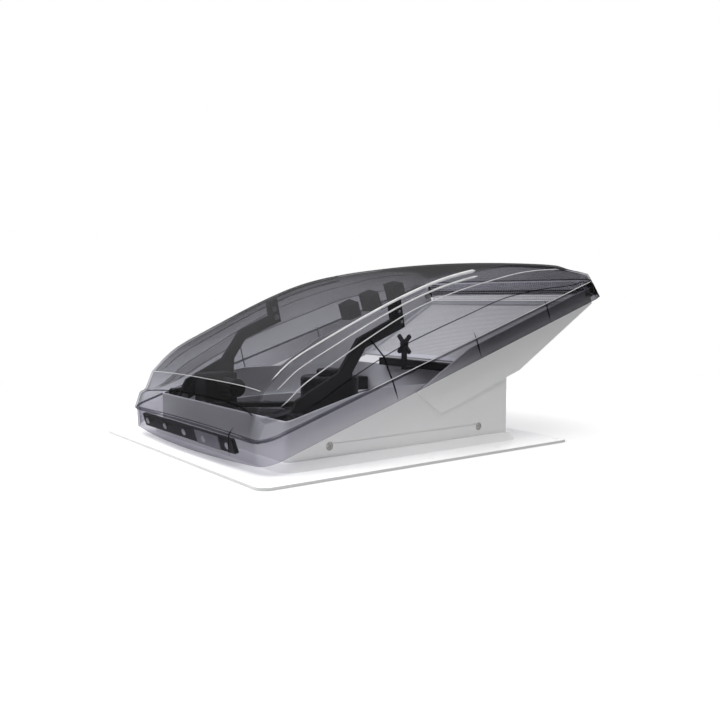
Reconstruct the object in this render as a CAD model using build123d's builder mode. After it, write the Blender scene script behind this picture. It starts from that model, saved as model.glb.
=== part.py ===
"""Roof vent with a tilting smoke lid, as separate pieces.

Millimetres, +Z up, flange underside on z = 0, the lid's low front end at -Y.
The lid and the shroud are built where the photograph shows them: tilted open.
"""
from build123d import *
from math import atan2, ceil, cos, hypot, pi, radians, sin, sqrt
import os

os.makedirs("parts", exist_ok=True)

# Driving dimensions
flange_length = 450.0
flange_width = 428.0
flange_thickness = 3.0
box_length = 332.0
box_width = 327.0
box_wall = 2.5
curb_height = 12.0
lid_length = 575.0
lid_width = 356.0
hood_height = 124.0
lid_wall = 2.4
lid_tilt = 18.0
fan_diameter = 298.0

# Fits shared by all pieces
overrun = 20.0
seat_gap = 0.2
run_gap = 0.05
slide_gap = 0.8

# Flange, curb and screw holes
flange_corner = 14.0
screw_inset = 13.0
screws_a_side = 5
roof_hole_radius = 2.25
roof_sink_radius = 4.4
roof_sink_angle = 100.0
curb_outset = 4.4
curb_fillet = 6.0
upstand_wall = 3.0
upstand_height = 34.0

# Box walls, deck and duct
wall_front_height = 54.0
wall_rear_height = 82.0
wall_slope_shares = (0.29, 0.38)
wall_knee_share = 0.953
deck_top = 41.0
deck_thickness = 3.0
duct_gap = 4.0
duct_wall = 2.5
duct_bottom = 14.0
groove_height = 27.0
groove_width = 2.6
groove_depth = 0.8
side_screw_height = 23.8
side_screw_y = 112.0
side_head_radius = 4.6
side_head_height = 1.3
side_shank_radius = 2.0
side_shank_length = 9.0
box_corner = 8.0

# Insect screen
screen_frame_width = 8.0
screen_frame_height = 5.0
screen_bottom = 4.0
screen_sheet = 1.0
screen_wire = 1.2
screen_gaps_a_side = 17
screen_ring = 3.0

# Fan, motor and bracket
hub_radius = 44.0
hub_height = 20.0
hub_bottom = 17.0
hub_wall = 3.0
blade_count = 10
blade_chord = 44.0
blade_thickness = 2.2
blade_pitch = 24.0
blade_root_sink = 2.0
shaft_radius = 4.0
nut_radius = 8.0
nut_height = 5.0
bracket_arm_width = 14.0
bracket_arm_height = 6.0
bracket_reach = 172.0
bracket_screw_circle = 164.0
bracket_hub_radius = 46.0
bracket_sixths = (1, 2, 4, 5)
motor_radius = 38.0
motor_height = 34.0
motor_fillet = 4.0
cap_radius = 17.0
cap_height = 9.0
small_head_radius = 4.0
small_head_height = 2.0
small_shank_radius = 1.8

# Lid hinge
hinge_y = -145.6
hinge_z = 50.0
pin_radius = 3.0
pin_head_radius = 5.0
pin_head_length = 2.0
block_length = 18.0
block_width = 15.0
block_top = 60.0
arm_inner = 138.0
arm_thickness = 5.0
arm_hub_radius = 7.0

# Lift drive
gear_module = 1.5
sector_teeth = 48
pinion_teeth = 12
tooth_backlash = 0.45
sector_width = 5.0
sector_gap = 1.5
mesh_angle = 20.0
sector_margin = 7.0
tooth_tip_share = 0.9
tooth_root_share = 1.2
tooth_flank_shares = (1.55, 0.55)
pinion_shaft_radius = 3.0
gearbox_inner = 128.0
gearbox_width = 32.0
gearbox_length = 46.0
gearbox_height = 42.0
gearbox_wall = 2.5
worm_radius = 5.0
worm_length = 14.0
wheel_radius = 10.0
wheel_width = 8.0
worm_clearance = 1.0
crank_radius = 4.0
crank_bottom = 1.0
knob_radius = 11.0
knob_height = 9.0
lift_motor_radius = 12.0
lift_motor_length = 36.0

# Control box
control_length = 44.0
control_width = 32.0
control_height = 20.0
control_inset = 6.0

# Lid, all places along it measured from its low front edge
lid_front_y = -204.0
lid_front_z = 10.0
lip_height = 25.0
lip_inset = 2.0
lip_bead = 1.6
lip_bead_height = 2.4
low_front_bow = 11.0
low_front_setback = 7.0
lip_front_setback = 10.0
lip_front_bow = 3.0
lip_rear_setback = 8.0
rear_bow = 3.0
lid_corner = 22.0
rib_width = 3.0
rib_rise = 2.0
rib_step_share = 0.3

# Each station: along the lid, then half widths at lip, crease, shoulder and edge,
# then heights of crease, shoulder, edge and crown.
station_shares = (
    (0.026, 0.87, 0.86, 0.84, 0.80, 0.265, 0.295, 0.30, 0.235),
    (0.046, 0.95, 0.94, 0.885, 0.82, 0.33, 0.36, 0.37, 0.30),
    (0.072, 0.975, 0.95, 0.865, 0.825, 0.315, 0.34, 0.50, 0.38),
    (0.1, 0.985, 0.96, 0.86, 0.825, 0.30, 0.365, 0.595, 0.585),
    (0.155, 0.985, 0.96, 0.855, 0.825, 0.305, 0.45, 0.68, 0.79),
    (0.235, 0.985, 0.96, 0.855, 0.825, 0.37, 0.515, 0.735, 0.895),
    (0.35, 0.985, 0.96, 0.855, 0.825, 0.435, 0.615, 0.79, 0.975),
    (0.45, 0.985, 0.96, 0.855, 0.825, 0.45, 0.67, 0.82, 0.99),
    (0.555, 0.985, 0.96, 0.855, 0.825, 0.45, 0.67, 0.82, 0.925),
    (0.67, 0.985, 0.96, 0.855, 0.825, 0.445, 0.63, 0.76, 0.82),
    (0.785, 0.985, 0.96, 0.855, 0.825, 0.37, 0.565, 0.655, 0.70),
    (0.905, 0.985, 0.96, 0.855, 0.825, 0.25, 0.43, 0.475, 0.53),
    (0.948, 0.98, 0.955, 0.88, 0.83, 0.235, 0.355, 0.375, 0.465),
    (0.98, 0.93, 0.925, 0.90, 0.83, 0.225, 0.275, 0.30, 0.405),
)

# Lid fittings
arm_shares = (
    (0.26, 0.18), (0.275, 0.34), (0.32, 0.50), (0.428, 0.53), (0.435, 0.805),
    (0.405, 0.80), (0.40, 0.65), (0.31, 0.61), (0.245, 0.39), (0.14, 0.32),
)
arm_screw_shares = ((0.418, 0.60), (0.418, 0.70))
lug_shares = (0.395, 0.44, 0.555, 0.765)
lug_depth = 4.5
shelf_height = 17.0
shelf_thickness = 2.0
shelf_half_length = 152.0
shelf_start = 10.0
strip_low = 0.5
strip_thickness = 5.0
strip_back = 17.5
strip_left = 150.0
strip_right = 101.0
strip_screw_left = 137.0
strip_screw_pitch = 56.2
strip_screw_count = 5
cover_left = 11.0
cover_right = 70.0
cover_thickness = 1.2
cap_thickness = 1.4
cap_low = 0.5
cap_high = 21.5
cap_wrap = 14.0
block_side = 17.0
block_x = 100.0
block_along_shares = (0.358, 0.414, 0.483)
pin_boss_radius = 6.0

# Shroud, which folds about a pin near the lid's rear edge
fold_along = 548.0
fold_up = 8.0
panel_thickness = 1.8
panel_shares = (
    (0.386, -0.05), (0.434, -0.347), (0.682, -0.347), (0.967, -0.056),
    (0.967, 0.125), (0.55, 0.115),
)
panel_corner = 10.0
shroud_pin_radius = 2.5
frame_bar = 9.0
frame_thickness = 3.0
frame_inset = 1.0
rear_gaps_across = 24
rear_gaps_up = 12
cross_front = 553.2
cross_depth = 2.8
cross_low = 8.5
cross_height = 6.0
top_screen_low = -3.4
top_screen_high = 26.0
top_gaps_up = 3

# Rear rail with its star
rail_half_length = 88.0
rail_height = 11.0
rail_depth = 14.0
star_y = 128.0
star_z = 118.0
star_reach = 17.0
star_arm = 5.0
star_thickness = 4.0
star_hub_radius = 7.0
star_arms = 4
star_turn = 45.0
stem_width = 8.0

# Worked out from the sizes above
half_length = flange_length / 2
half_width = flange_width / 2
box_half_x = box_width / 2
box_half_y = box_length / 2
inner_half_x = box_half_x - box_wall
inner_half_y = box_half_y - box_wall
upstand_x = inner_half_x - seat_gap
upstand_y = inner_half_y - seat_gap
deck_bottom = deck_top - deck_thickness
duct_radius = fan_diameter / 2 + duct_gap
bracket_top = deck_top + bracket_arm_height
motor_top = bracket_top + motor_height
lid_half = lid_width / 2
hinge_along = (
    (hinge_y - lid_front_y) * cos(radians(lid_tilt)) + (hinge_z - lid_front_z) * sin(radians(lid_tilt))
)
hinge_up = (
    (hinge_z - lid_front_z) * cos(radians(lid_tilt)) - (hinge_y - lid_front_y) * sin(radians(lid_tilt))
)
sector_radius = gear_module * sector_teeth / 2
pinion_radius = gear_module * pinion_teeth / 2
gear_centres = sector_radius + pinion_radius
pinion_y = hinge_y + gear_centres * cos(radians(mesh_angle))
pinion_z = hinge_z + gear_centres * sin(radians(mesh_angle))
arm_outer = arm_inner + arm_thickness
sector_outer = arm_inner
sector_inner = sector_outer - sector_width
gearbox_end = gearbox_inner - gearbox_width
crank_x = -(gearbox_inner - gearbox_wall - wheel_width / 2 - sector_gap)
crank_y = pinion_y - wheel_radius - worm_radius - worm_clearance
panel_inner = box_half_x + slide_gap
panel_outer = panel_inner + panel_thickness

along = Vector(0, cos(radians(lid_tilt)), sin(radians(lid_tilt)))
upward = Vector(0, -sin(radians(lid_tilt)), cos(radians(lid_tilt)))
lid_origin = Vector(0, lid_front_y, lid_front_z)


def lid_side(x):
    """Plane at x whose sketch runs along the lid and up from its low edge."""
    return Plane(origin=lid_origin + Vector(x, 0, 0), x_dir=along, z_dir=(1, 0, 0))


def lid_level(height):
    """Plane parallel to the lid's low edge, sketch across and along the lid."""
    return Plane(origin=lid_origin + upward * height, x_dir=(1, 0, 0), z_dir=upward)


def lid_cut(distance):
    """Plane square to the lid at a distance along it, sketch across and up."""
    return Plane(origin=lid_origin + along * distance, x_dir=(1, 0, 0), z_dir=along * -1)


def side_plane(x, y, z):
    """Plane at x whose sketch runs along +Y and +Z."""
    return Plane(origin=(x, y, z), x_dir=(0, 1, 0), z_dir=(1, 0, 0))


def save(piece, name):
    piece.part.label = name
    export_step(piece.part, f"parts/{name}.step")


def rim_places():
    """Screw places round the flange, corners shared by both directions."""
    across = half_width - screw_inset
    length = half_length - screw_inset
    steps = [2 * i / (screws_a_side - 1) - 1 for i in range(screws_a_side)]
    long_sides = [(side * across, step * length) for side in (-1, 1) for step in steps]
    short_sides = [(step * across, side * length) for side in (-1, 1) for step in steps[1:-1]]
    return long_sides + short_sides


def round_box(width, length, corner, plane):
    with BuildSketch(plane) as shape:
        RectangleRounded(width, length, corner)
    return shape.sketch


# Mounting flange
with BuildPart() as mounting_flange:
    with BuildSketch():
        RectangleRounded(flange_width, flange_length, flange_corner)
    extrude(amount=flange_thickness)
    with BuildSketch(Plane.XY.offset(flange_thickness)):
        RectangleRounded(
            box_width + 2 * curb_outset + 2 * curb_fillet,
            box_length + 2 * curb_outset + 2 * curb_fillet,
            box_corner + curb_outset + curb_fillet,
        )
    with BuildSketch(Plane.XY.offset(curb_height)):
        RectangleRounded(
            box_width + 2 * curb_outset, box_length + 2 * curb_outset, box_corner + curb_outset
        )
    loft()
    extrude(round_box(2 * upstand_x, 2 * upstand_y, box_corner - box_wall, Plane.XY), amount=upstand_height)
    extrude(
        round_box(
            2 * (upstand_x - upstand_wall),
            2 * (upstand_y - upstand_wall),
            box_corner - box_wall,
            Plane.XY.offset(-overrun),
        ),
        amount=upstand_height + 2 * overrun,
        mode=Mode.SUBTRACT,
    )
    with Locations(*[(x, y, flange_thickness) for x, y in rim_places()]):
        CounterSinkHole(roof_hole_radius, roof_sink_radius, counter_sink_angle=roof_sink_angle)
    for side in (-1, 1):
        with Locations(*[(side * box_half_x, y, side_screw_height) for y in (-side_screw_y, side_screw_y)]):
            Cylinder(side_shank_radius, overrun, rotation=(0, 90, 0), mode=Mode.SUBTRACT)
save(mounting_flange, "mounting_flange")

# Base box: sloped side walls, deck and fan duct in one moulding
with BuildPart() as base_housing:
    extrude(
        round_box(box_width, box_length, box_corner, Plane.XY.offset(curb_height)),
        amount=wall_rear_height - curb_height,
    )
    extrude(
        round_box(2 * inner_half_x, 2 * inner_half_y, box_corner - box_wall, Plane.XY.offset(-overrun)),
        amount=wall_rear_height + 2 * overrun,
        mode=Mode.SUBTRACT,
    )
    with BuildSketch(side_plane(-box_half_x - overrun, 0, 0)):
        with BuildLine():
            Polyline(
                (-box_half_y - overrun, wall_front_height),
                (-box_half_y, wall_front_height),
                (-box_half_y + wall_slope_shares[0] * box_length, wall_knee_share * wall_rear_height),
                (-box_half_y + wall_slope_shares[1] * box_length, wall_rear_height),
                (-box_half_y + wall_slope_shares[1] * box_length, wall_rear_height + overrun),
                (-box_half_y - overrun, wall_rear_height + overrun),
                close=True,
            )
        make_face()
    extrude(amount=box_width + 2 * overrun, mode=Mode.SUBTRACT)
    extrude(
        round_box(
            2 * inner_half_x + box_wall, 2 * inner_half_y + box_wall, box_corner - box_wall / 2,
            Plane.XY.offset(deck_bottom),
        ),
        amount=deck_thickness,
    )
    with BuildSketch(Plane.XY.offset(duct_bottom)):
        Circle(duct_radius + duct_wall)
    extrude(amount=deck_top - duct_bottom)
    with BuildSketch(Plane.XY.offset(duct_bottom - overrun)):
        Circle(duct_radius)
    extrude(amount=deck_top - duct_bottom + 2 * overrun, mode=Mode.SUBTRACT)
    for side in (-1, 1):
        with Locations((side * box_half_x, 0, groove_height)):
            Box(2 * groove_depth, 2 * (side_screw_y - side_head_radius), groove_width, mode=Mode.SUBTRACT)
        with Locations(*[(side * box_half_x, y, side_screw_height) for y in (-side_screw_y, side_screw_y)]):
            Cylinder(side_shank_radius, overrun, rotation=(0, 90, 0), mode=Mode.SUBTRACT)
            Cylinder(
                side_head_radius + seat_gap, 2 * side_head_height, rotation=(0, 90, 0), mode=Mode.SUBTRACT
            )
    with Locations((crank_x, crank_y, deck_top)):
        Cylinder(crank_radius + run_gap, overrun, mode=Mode.SUBTRACT)
save(base_housing, "base_housing")

# Side screws, heads sunk flush so that the shroud slides past
with BuildPart() as side_screws:
    for side in (-1, 1):
        for y in (-side_screw_y, side_screw_y):
            with Locations((side * (box_half_x - side_head_height / 2), y, side_screw_height)):
                Cylinder(side_head_radius, side_head_height, rotation=(0, 90, 0))
            with Locations((side * (box_half_x - side_shank_length / 2), y, side_screw_height)):
                Cylinder(side_shank_radius, side_shank_length, rotation=(0, 90, 0))
save(side_screws, "side_screws")

# Insect screen under the fan
screen_half_x = upstand_x - upstand_wall
screen_half_y = upstand_y - upstand_wall
with BuildPart() as screen_frame:
    extrude(
        round_box(
            2 * screen_half_x, 2 * screen_half_y, box_corner - box_wall, Plane.XY.offset(screen_bottom)
        ),
        amount=screen_frame_height,
    )
    extrude(
        round_box(
            2 * (screen_half_x - screen_frame_width),
            2 * (screen_half_y - screen_frame_width),
            box_corner - box_wall,
            Plane.XY.offset(screen_bottom - overrun),
        ),
        amount=screen_frame_height + 2 * overrun,
        mode=Mode.SUBTRACT,
    )
save(screen_frame, "screen_frame")

screen_width = 2 * (screen_half_x - screen_frame_width)
screen_length = 2 * (screen_half_y - screen_frame_width)
with BuildPart() as insect_screen:
    with BuildSketch(Plane.XY.offset(screen_bottom + screen_frame_height / 2)):
        RectangleRounded(screen_width, screen_length, box_corner - box_wall)
        pitch_x = (screen_width - screen_wire) / screen_gaps_a_side
        pitch_y = (screen_length - screen_wire) / screen_gaps_a_side
        with GridLocations(pitch_x, pitch_y, screen_gaps_a_side, screen_gaps_a_side):
            Rectangle(pitch_x - screen_wire, pitch_y - screen_wire, mode=Mode.SUBTRACT)
        with Locations((crank_x, crank_y)):
            Circle(knob_radius + slide_gap + screen_ring)
            Circle(knob_radius + slide_gap, mode=Mode.SUBTRACT)
    extrude(amount=screen_sheet)
save(insect_screen, "insect_screen")

# Fan bracket: four arms that seat on the deck
bracket_places = [(bracket_screw_circle * cos(pi * n / 3), bracket_screw_circle * sin(pi * n / 3))
                  for n in bracket_sixths]
with BuildPart() as motor_bracket:
    with BuildSketch(Plane.XY.offset(deck_top)):
        Circle(bracket_hub_radius)
        for n in bracket_sixths:
            with Locations(
                Location((bracket_reach / 2 * cos(pi * n / 3), bracket_reach / 2 * sin(pi * n / 3)), 60 * n)
            ):
                Rectangle(bracket_reach, bracket_arm_width)
    extrude(amount=bracket_arm_height)
    with Locations((0, 0, deck_top)):
        Cylinder(shaft_radius + slide_gap, overrun, mode=Mode.SUBTRACT)
    with Locations(*[(x, y, deck_top) for x, y in bracket_places]):
        Cylinder(small_shank_radius, overrun, mode=Mode.SUBTRACT)
save(motor_bracket, "motor_bracket")

with BuildPart() as bracket_screws:
    with Locations(*[(x, y, bracket_top) for x, y in bracket_places]):
        Cylinder(small_head_radius, small_head_height, align=(Align.CENTER, Align.CENTER, Align.MIN))
    with Locations(*[(x, y, bracket_top - bracket_arm_height) for x, y in bracket_places]):
        Cylinder(small_shank_radius, bracket_arm_height, align=(Align.CENTER, Align.CENTER, Align.MIN))
save(bracket_screws, "bracket_screws")

with BuildPart() as fan_motor:
    with Locations((0, 0, bracket_top)):
        Cylinder(motor_radius, motor_height, align=(Align.CENTER, Align.CENTER, Align.MIN))
    fillet(fan_motor.edges().filter_by(GeomType.CIRCLE).sort_by(Axis.Z)[-1], motor_fillet)
    with Locations((0, 0, bracket_top)):
        Cylinder(shaft_radius + run_gap, 2 * (motor_height - motor_fillet), mode=Mode.SUBTRACT)
save(fan_motor, "fan_motor")

with BuildPart() as motor_cap:
    with Locations((0, 0, motor_top)):
        Cylinder(cap_radius, cap_height, align=(Align.CENTER, Align.CENTER, Align.MIN))
    chamfer(motor_cap.faces().sort_by(Axis.Z)[-1].edges(), cap_height / 4)
save(motor_cap, "motor_cap")

# Fan rotor: cup hub with pitched blades
blade_length = fan_diameter / 2 - hub_radius + blade_root_sink
with BuildPart() as fan_rotor:
    with Locations((0, 0, hub_bottom)):
        Cylinder(hub_radius, hub_height, align=(Align.CENTER, Align.CENTER, Align.MIN))
    with Locations((0, 0, hub_bottom + hub_wall)):
        Cylinder(
            hub_radius - hub_wall,
            hub_height,
            align=(Align.CENTER, Align.CENTER, Align.MIN),
            mode=Mode.SUBTRACT,
        )
    with Locations((0, 0, hub_bottom)):
        Cylinder(2 * shaft_radius, hub_height, align=(Align.CENTER, Align.CENTER, Align.MIN))
    with Locations((0, 0, hub_bottom + hub_height / 2)):
        with PolarLocations(hub_radius - blade_root_sink, blade_count):
            Box(
                blade_length, blade_chord, blade_thickness, rotation=(blade_pitch, 0, 0),
                align=(Align.MIN, Align.CENTER, Align.CENTER),
            )
    with Locations((0, 0, hub_bottom)):
        Cylinder(shaft_radius, 2 * hub_height + overrun, mode=Mode.SUBTRACT)
save(fan_rotor, "fan_rotor")

shaft_bottom = hub_bottom - nut_height
with BuildPart() as fan_shaft:
    with Locations((0, 0, shaft_bottom)):
        Cylinder(
            shaft_radius, motor_top - motor_fillet - slide_gap - shaft_bottom,
            align=(Align.CENTER, Align.CENTER, Align.MIN),
        )
save(fan_shaft, "fan_shaft")

with BuildPart() as fan_nut:
    with BuildSketch(Plane.XY.offset(shaft_bottom)):
        RegularPolygon(nut_radius, 6)
        Circle(shaft_radius, mode=Mode.SUBTRACT)
    extrude(amount=nut_height)
save(fan_nut, "fan_nut")

# Hinge blocks on the deck and the pins through them
for side, name in ((-1, "hinge_block_left"), (1, "hinge_block_right")):
    with BuildPart() as hinge_block:
        with Locations((side * (inner_half_x - block_width / 2), hinge_y, (deck_top + block_top) / 2)):
            Box(block_width, block_length, block_top - deck_top)
        fillet(hinge_block.edges().filter_by(Axis.X).group_by(Axis.Z)[-1], block_length / 6)
        with Locations((side * (inner_half_x - block_width / 2), hinge_y, hinge_z)):
            Cylinder(pin_radius, block_width + overrun, rotation=(0, 90, 0), mode=Mode.SUBTRACT)
    save(hinge_block, name)

pin_inner = {-1: sector_inner - seat_gap, 1: arm_inner - seat_gap}
with BuildPart() as hinge_pins:
    for side in (-1, 1):
        pin_length = inner_half_x - pin_inner[side]
        with Locations((side * (inner_half_x - pin_length / 2), hinge_y, hinge_z)):
            Cylinder(pin_radius, pin_length, rotation=(0, 90, 0))
        with Locations((side * (pin_inner[side] - pin_head_length / 2), hinge_y, hinge_z)):
            Cylinder(pin_head_radius, pin_head_length, rotation=(0, 90, 0))
save(hinge_pins, "hinge_pins")


def hood_faces(inset):
    """Cross-sections of the hood; an inset draws the inside of its wall."""
    faces = []
    for index, row in enumerate(station_shares):
        distance, half_shares, up_shares = row[0], row[1:5], row[5:9]
        before = station_shares[max(index - 1, 0)]
        after = station_shares[min(index + 1, len(station_shares) - 1)]
        slope = (after[8] - before[8]) * hood_height / ((after[0] - before[0]) * lid_length)
        drop = inset * sqrt(1 + slope**2)
        place = distance * lid_length
        if index == 0:
            place += 1.5 * inset
        if index == len(station_shares) - 1:
            place -= inset
        lip, crease, shoulder, edge = [share * lid_half - inset for share in half_shares]
        crease_up, shoulder_up, edge_up, crown = [share * hood_height for share in up_shares]
        base = lip_height - inset
        shoulder_up, edge_up, crown = shoulder_up - drop / 2, edge_up - drop, crown - drop
        with BuildSketch(lid_cut(place)) as section:
            with BuildLine():
                Polyline(
                    (-edge, edge_up), (-shoulder, shoulder_up), (-crease, crease_up), (-lip, base),
                    (lip, base), (crease, crease_up), (shoulder, shoulder_up), (edge, edge_up),
                )
                ThreePointArc((-edge, edge_up), (0, crown), (edge, edge_up))
            make_face()
        faces.append(section.sketch.faces()[0])
    return faces


def rim_face(height, half, front_mid, front_end, rear, corner):
    """Outline of the lid at one height: bowed ends, straight sides, round corners."""
    with BuildSketch(lid_level(height)) as outline:
        with BuildLine():
            ThreePointArc((-half, front_end), (0, front_mid), (half, front_end))
            Line((half, front_end), (half, rear - rear_bow))
            ThreePointArc((half, rear - rear_bow), (0, rear), (-half, rear - rear_bow))
            Line((-half, rear - rear_bow), (-half, front_end))
        make_face()
        fillet(outline.vertices(), corner)
    return outline.sketch.faces()[0]


def rim_faces(inset):
    return [
        rim_face(
            0, lid_half - inset, low_front_setback - low_front_bow + inset, low_front_setback + inset,
            lid_length - inset, lid_corner - inset,
        ),
        rim_face(
            lip_height, lid_half - lip_inset - inset, lip_front_setback + lip_front_bow + inset,
            lip_front_setback + inset, lid_length - lip_rear_setback - inset, lid_corner - inset,
        ),
    ]


def edge_line(step_share, lift):
    """The hood's edge line along the lid, part of the way down to its shoulder."""
    return [
        (row[0] * lid_length, (row[7] - step_share * (row[7] - row[6])) * hood_height + lift)
        for row in station_shares[3:-2]
    ]


def rib_face(x, step_share, low, high):
    with BuildSketch(lid_side(x)) as rib:
        with BuildLine():
            top = Spline(*edge_line(step_share, high))
            base = Spline(*edge_line(step_share, low))
            Line(top @ 0, base @ 0)
            Line(top @ 1, base @ 1)
        make_face()
    return rib.sketch


edge_half = station_shares[4][4] * lid_half
shoulder_half = station_shares[4][3] * lid_half
step_half = edge_half + rib_step_share * (shoulder_half - edge_half)
skirt_inner = lid_half - lip_inset - lid_wall
boss_start = panel_outer + slide_gap
arm_screw_places = [(share[0] * lid_length, share[1] * hood_height) for share in arm_screw_shares]
lug_low, lug_high = [share * lid_length for share in lug_shares[:2]]
lug_bottom, lug_top = [share * hood_height for share in lug_shares[2:]]

# Smoke lid: skirt, lip, hood, ribs, inner shelf and pin bosses in one moulding
with BuildPart() as lid_dome:
    loft(rim_faces(0), ruled=True)
    loft(hood_faces(0))
    extrude(
        rim_face(
            lip_height - lip_bead_height / 2, lid_half - lip_inset + lip_bead,
            lip_front_setback + lip_front_bow - lip_bead, lip_front_setback - lip_bead,
            lid_length - lip_rear_setback + lip_bead, lid_corner,
        ),
        amount=lip_bead_height,
    )
    for left in (-edge_half, edge_half - rib_width):
        extrude(rib_face(left, 0, -lid_wall, rib_rise), amount=rib_width)
    for left in (-step_half - rib_rise, step_half - rib_width):
        extrude(
            rib_face(left, rib_step_share, -rib_width / 2, rib_width / 2), amount=rib_width + rib_rise
        )
    loft(rim_faces(lid_wall), ruled=True, mode=Mode.SUBTRACT)
    loft(hood_faces(lid_wall), mode=Mode.SUBTRACT)
    extrude(
        rim_face(
            lip_height - lid_wall, skirt_inner, lip_front_setback + lip_front_bow + lid_wall,
            lip_front_setback + lid_wall, lid_length - lip_rear_setback - lid_wall, lid_corner - lid_wall,
        ),
        amount=lid_wall, mode=Mode.SUBTRACT,
    )
    with BuildSketch(lid_level(shelf_height)):
        with Locations((0, (shelf_start + strip_back) / 2)):
            Rectangle(2 * shelf_half_length, strip_back - shelf_start)
    extrude(amount=shelf_thickness)
    for start in (-skirt_inner - lid_wall / 2, boss_start):
        with BuildSketch(lid_side(start)):
            with Locations((fold_along, fold_up)):
                Circle(pin_boss_radius)
        extrude(amount=skirt_inner + lid_wall / 2 - boss_start)
        with BuildSketch(lid_side(start)):
            with Locations((fold_along, fold_up)):
                Circle(shroud_pin_radius)
        extrude(amount=skirt_inner + lid_wall / 2 - boss_start, mode=Mode.SUBTRACT)
    for start in (-arm_outer - lug_depth, arm_outer):
        with BuildSketch(lid_side(start)):
            with Locations(((lug_low + lug_high) / 2, (lug_bottom + lug_top) / 2)):
                Rectangle(lug_high - lug_low, lug_top - lug_bottom)
        extrude(amount=lug_depth)
        with BuildSketch(lid_side(start)):
            with Locations(*arm_screw_places):
                Circle(small_shank_radius)
        extrude(amount=lug_depth, mode=Mode.SUBTRACT)
save(lid_dome, "lid_dome")

# Space inside the hood, which shapes what is fixed against its inner face
hood_space = loft(hood_faces(lid_wall))


def arm_face(x):
    with BuildSketch(lid_side(x)) as outline:
        with BuildLine():
            Polyline(
                (hinge_along, hinge_up - arm_hub_radius),
                *[(share[0] * lid_length, share[1] * hood_height) for share in arm_shares],
                (hinge_along, hinge_up + arm_hub_radius),
                close=True,
            )
        make_face()
        with Locations((hinge_along, hinge_up)):
            Circle(arm_hub_radius)
            Circle(pin_radius + run_gap, mode=Mode.SUBTRACT)
    return outline.sketch


for start, name in ((-arm_outer, "lid_arm_left"), (arm_inner, "lid_arm_right")):
    with BuildPart() as lid_arm:
        extrude(arm_face(start), amount=arm_thickness)
        with BuildSketch(lid_side(start)):
            with Locations(*arm_screw_places):
                Circle(small_shank_radius)
        extrude(amount=arm_thickness, mode=Mode.SUBTRACT)
        add(lid_dome.part, mode=Mode.SUBTRACT)
    save(lid_arm, name)

# Screws in the tops of the arms, heads on the inner side
with BuildPart() as arm_screws:
    for head, shank in ((-arm_inner, -arm_outer - lug_depth), (arm_inner - small_head_height, arm_inner)):
        with BuildSketch(lid_side(head)):
            with Locations(*arm_screw_places):
                Circle(small_head_radius)
        extrude(amount=small_head_height)
        with BuildSketch(lid_side(shank)):
            with Locations(*arm_screw_places):
                Circle(small_shank_radius)
        extrude(amount=arm_thickness + lug_depth)
save(arm_screws, "arm_screws")


def gear_outline(teeth, radius, first, last, turn):
    """Straight-sided teeth from the first to the last, as points round the axis."""
    pitch = 2 * pi / teeth
    outer, root = radius + tooth_tip_share * gear_module, radius - tooth_root_share * gear_module
    half_tooth = (gear_module * pi - tooth_backlash) / 4 / radius
    wide, narrow = [share * half_tooth for share in tooth_flank_shares]
    points = []
    for n in range(first, last + 1):
        centre = turn + n * pitch
        for offset, reach in ((-wide, root), (-narrow, outer), (narrow, outer), (wide, root)):
            points.append((reach * cos(centre + offset), reach * sin(centre + offset)))
    return points


# Toothed sector on the left arm, in mesh with the pinion along mesh_angle
sector_first = -ceil(sector_margin / 360 * sector_teeth)
sector_last = ceil((lid_tilt + sector_margin) / 360 * sector_teeth)
with BuildPart() as lift_sector:
    with BuildSketch(side_plane(-sector_outer, hinge_y, hinge_z)):
        with BuildLine():
            Polyline(
                (0, 0),
                *gear_outline(sector_teeth, sector_radius, sector_first, sector_last, radians(mesh_angle)),
                close=True,
            )
        make_face()
        Circle(arm_hub_radius)
        Circle(pin_radius + run_gap, mode=Mode.SUBTRACT)
    extrude(amount=sector_width)
save(lift_sector, "lift_sector")

pinion_start = sector_outer - slide_gap
pinion_end = gearbox_end + slide_gap
with BuildPart() as lift_pinion:
    with BuildSketch(side_plane(-pinion_start, pinion_y, pinion_z)):
        with BuildLine():
            Polyline(
                *gear_outline(
                    pinion_teeth, pinion_radius, 0, pinion_teeth - 1,
                    radians(mesh_angle) + pi + pi / pinion_teeth,
                ),
                close=True,
            )
        make_face()
    extrude(amount=sector_width)
    with Locations((-(pinion_start + pinion_end) / 2, pinion_y, pinion_z)):
        Cylinder(pinion_shaft_radius, pinion_start - pinion_end, rotation=(0, 90, 0))
    with Locations((crank_x, pinion_y, pinion_z)):
        Cylinder(wheel_radius, wheel_width, rotation=(0, 90, 0))
save(lift_pinion, "lift_pinion")

gearbox_x = -(gearbox_inner + gearbox_end) / 2
gearbox_y = crank_y - 2 * worm_radius - gearbox_wall + gearbox_length / 2
with BuildPart() as lift_gearbox:
    with Locations((gearbox_x, gearbox_y, deck_top)):
        Box(gearbox_width, gearbox_length, gearbox_height, align=(Align.CENTER, Align.CENTER, Align.MIN))
    fillet(lift_gearbox.edges().group_by(Axis.Z)[-1], gearbox_wall)
    with Locations((gearbox_x, gearbox_y, deck_top)):
        Box(
            gearbox_width - 2 * gearbox_wall, gearbox_length - 2 * gearbox_wall,
            gearbox_height - gearbox_wall, align=(Align.CENTER, Align.CENTER, Align.MIN), mode=Mode.SUBTRACT,
        )
    with Locations((gearbox_x, pinion_y, pinion_z)):
        Cylinder(
            pinion_shaft_radius + run_gap, gearbox_width + overrun, rotation=(0, 90, 0), mode=Mode.SUBTRACT
        )
save(lift_gearbox, "lift_gearbox")

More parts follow.
